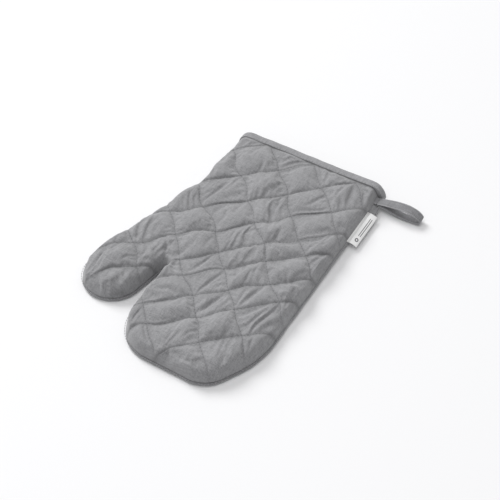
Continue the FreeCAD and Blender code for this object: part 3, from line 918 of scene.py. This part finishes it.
def tape(name, path, body, paint, width=TAPE_WIDTH, thickness=TAPE_THICKNESS):
    """A strip with rounded edges along a path of (place, tilt): its section lies across."""
    half_width, half = width / 2, thickness / 2
    section = [(-1.0, 0.0), (-0.97, 0.75), (-0.86, 1.0), (-0.72, 0.8), (-0.4, 1.0), (0.4, 1.0),
               (0.72, 0.8), (0.86, 1.0), (0.97, 0.75), (1.0, 0.0)]
    section += [(w, -t) for w, t in section[-2:0:-1]]
    mesh = bmesh.new()
    across = mesh.verts.layers.float.new("across")
    bmesh.ops.create_circle(mesh, cap_ends=False, segments=len(section), radius=1)
    loops, edges = [list(mesh.verts)], list(mesh.edges)
    for _ in path[1:]:
        made = bmesh.ops.extrude_edge_only(mesh, edges=edges)["geom"]
        edges = [g for g in made if isinstance(g, bmesh.types.BMEdge) and len(g.link_faces) == 1]
        loops.append([g for g in made if isinstance(g, bmesh.types.BMVert)])
    turns = sorted(range(len(section)), key=lambda k: math.atan2(loops[0][k].co.y,
                                                                 loops[0][k].co.x) % math.tau)
    order = {k: turns.index(k) for k in range(len(section))}
    ahead = np.gradient(path[:, :3], axis=0)
    ahead /= np.linalg.norm(ahead, axis=1)[:, None]
    for loop, place, run in zip(loops, path, ahead):
        side = Vector((0, math.cos(place[3]), math.sin(place[3])))
        up = side.cross(Vector(run)).normalized()
        for k, v in enumerate(loop):
            w, t = section[order[k]]
            v.co = Vector(place[:3]) + side * w * half_width + up * t * half
            v[across] = w
    bmesh.ops.holes_fill(mesh, edges=[e for e in mesh.edges if e.is_boundary])
    bmesh.ops.recalc_face_normals(mesh, faces=mesh.faces)
    return new_piece(name, mesh, paint, body)


tape_paint = cotton("woven_tape", (0.225, 0.225, 0.235), edged=True)
path = through(LOOP_PATH, 110) * MM
path[:, 0] += loop_low[0]
share = np.linspace(0, 1, len(path))
loop_y = (loop_low[1] + loop_high[1]) / 2 - 0.5 * MM + 1.4 * MM * np.sin(math.pi * share) ** 4
tilt = 0.3 * np.sin(math.pi * share) * np.cos(math.pi * share) + 0.1 * np.sin(math.pi * share)
path = np.column_stack([path[:, 0], loop_y, path[:, 1], tilt])
hanging_loop = tape("hanging_tape_loop", path, None, tape_paint)
loop_root = Vector((loop_low[0] + 0.4 * MM, path[0, 1], path[0, 2]))
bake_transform(hanging_loop, "mitt", "loop", loop_root, loop_root + Vector((4.5 * MM, 0, 0)))
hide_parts("hanging_loop", "loop_edge_thread")

# The end that is sewn in reaches 6 mm into the seam.
tail_x = loop_low[0] + np.array([-6, -4, -2, 0.35]) * MM
tail = np.column_stack([tail_x, np.full(4, path[0, 1]),
                        np.full(4, path[0, 2] - 0.1 * MM), np.zeros(4)])
upper_tail = tape("loop_tail", tail, "mitt", tape_paint)
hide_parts("hanging_loop_tail")

# The end of the binding strip is caught in the side seam too, just below the loop.
STRIP_END_Y = 116.6 * MM
STRIP_END_WIDTH = 10.5 * MM
STRIP_END_THICKNESS = 1.5 * MM
STRIP_END_TILT = 0.08
strip_x = np.array([72.5, 74.5, 76.5, 78.5, 80.5, 82.3]) * MM
strip_z = np.array([6.6, 6.5, 6.2, 5.7, 5.0, 4.2]) * MM
strip = np.column_stack([strip_x, np.full(6, STRIP_END_Y), strip_z, np.full(6, STRIP_END_TILT)])
binding_end = tape("binding_strip_end", strip, "mitt", binding_paint, STRIP_END_WIDTH,
                   STRIP_END_THICKNESS)
print("loop reaches", round(path[:, 0].max() / MM, 1), "mm, eye up to",
      round((path[:, 2].max() - path[:, 2].min()) / MM, 1), "mm high")

# %% [markdown]
# ## The side label
# The label is white satin, folded and caught in the seam by its long side. Its printing is
# only plain marks: a small ring and two thin lines. They are drawn in the material, in the
# label's own coordinates.

# %% Label
label_width = 10 * MM
label_length = label_high[1] - label_low[1]


def label_mesh(rows, columns, thickness):
    """The label droops away from the seam and curls a little along its length."""
    mesh = bmesh.new()
    bmesh.ops.create_grid(mesh, x_segments=columns, y_segments=rows, size=1)
    across = mesh.verts.layers.float.new("across")
    along = mesh.verts.layers.float.new("along")
    for v in mesh.verts:
        s, t = (v.co.x + 1) / 2, (v.co.y + 1) / 2
        v[across], v[along] = s, t
        droop = -3.8 * MM * s ** 1.6 * (1 - 0.3 * t) + 0.5 * MM * s * math.sin(5 * t + 1)
        v.co = (label_low[0] + label_width * s * (0.84 - 0.1 * s),
                label_low[1] + label_length * t + 0.4 * MM * s, SEAM_Z + 0.45 * MM + droop)
    bmesh.ops.solidify(mesh, geom=mesh.faces[:], thickness=thickness)
    bmesh.ops.recalc_face_normals(mesh, faces=mesh.faces)
    return mesh


satin, satin_shader = material("white_satin", 0.5, 0.2)
across = Socket.node("Attribute", {"attribute_name": "across"}, out="Fac")
along = Socket.node("Attribute", {"attribute_name": "along"}, out="Fac")


def bar(value, low, high, soft):
    """1 between low and high and 0 outside, with edges soft to either side."""
    rise = Socket.node("MapRange", Value=value, _1=low - soft, _2=low + soft)
    fall = Socket.node("MapRange", Value=value, _1=high - soft, _2=high + soft)
    return rise * (1 - fall)


RING_ACROSS, RING_ALONG = 0.55, 0.16
to_ring = ((across - RING_ACROSS) * label_width) ** 2 + ((along - RING_ALONG) * label_length) ** 2
disc = 1 - Socket.node("MapRange", Value=to_ring ** 0.5, _1=2.0 * MM, _2=2.4 * MM)
hole = 1 - Socket.node("MapRange", Value=to_ring ** 0.5, _1=0.9 * MM, _2=1.2 * MM)
two_lines = bar(across, 0.4, 0.48, 0.02) + bar(across, 0.62, 0.7, 0.02)
ink = disc * (1 - hole) + two_lines * bar(along, 0.28, 0.86, 0.006)
feed(satin_shader, "Base Color", Socket.node("Mix", {"data_type": "RGBA"}, out=2, _0=ink,
                                             _6=(0.88, 0.88, 0.88, 1), _7=(0.09, 0.09, 0.1, 1)))
label = new_piece("satin_label", label_mesh(24, 14, 0.45 * MM), satin, None)
label_root = Vector((label_low[0] + 0.3 * MM, label_low[1], SEAM_Z))
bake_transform(label, "mitt", "label", label_root, label_root + Vector((2.4 * MM, 0, 0)))
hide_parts("side_label")

SEWN_IN_CENTRE = (label_low[0] - 3 * MM, (label_low[1] + label_high[1]) / 2, SEAM_Z + 0.3 * MM)
SEWN_IN_SIZE = (6.6 * MM, label_length * 0.99, 0.4 * MM)
mesh = bmesh.new()
bmesh.ops.create_cube(mesh, size=1, matrix=Matrix.Translation(SEWN_IN_CENTRE)
                      @ Matrix.Diagonal((*SEWN_IN_SIZE, 1)))
label_tail = new_piece("label_tail", mesh, satin, "mitt", 0)
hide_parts("side_label_tail")
print("label", round(label_width / MM, 1), "by", round(label_length / MM, 1), "mm")
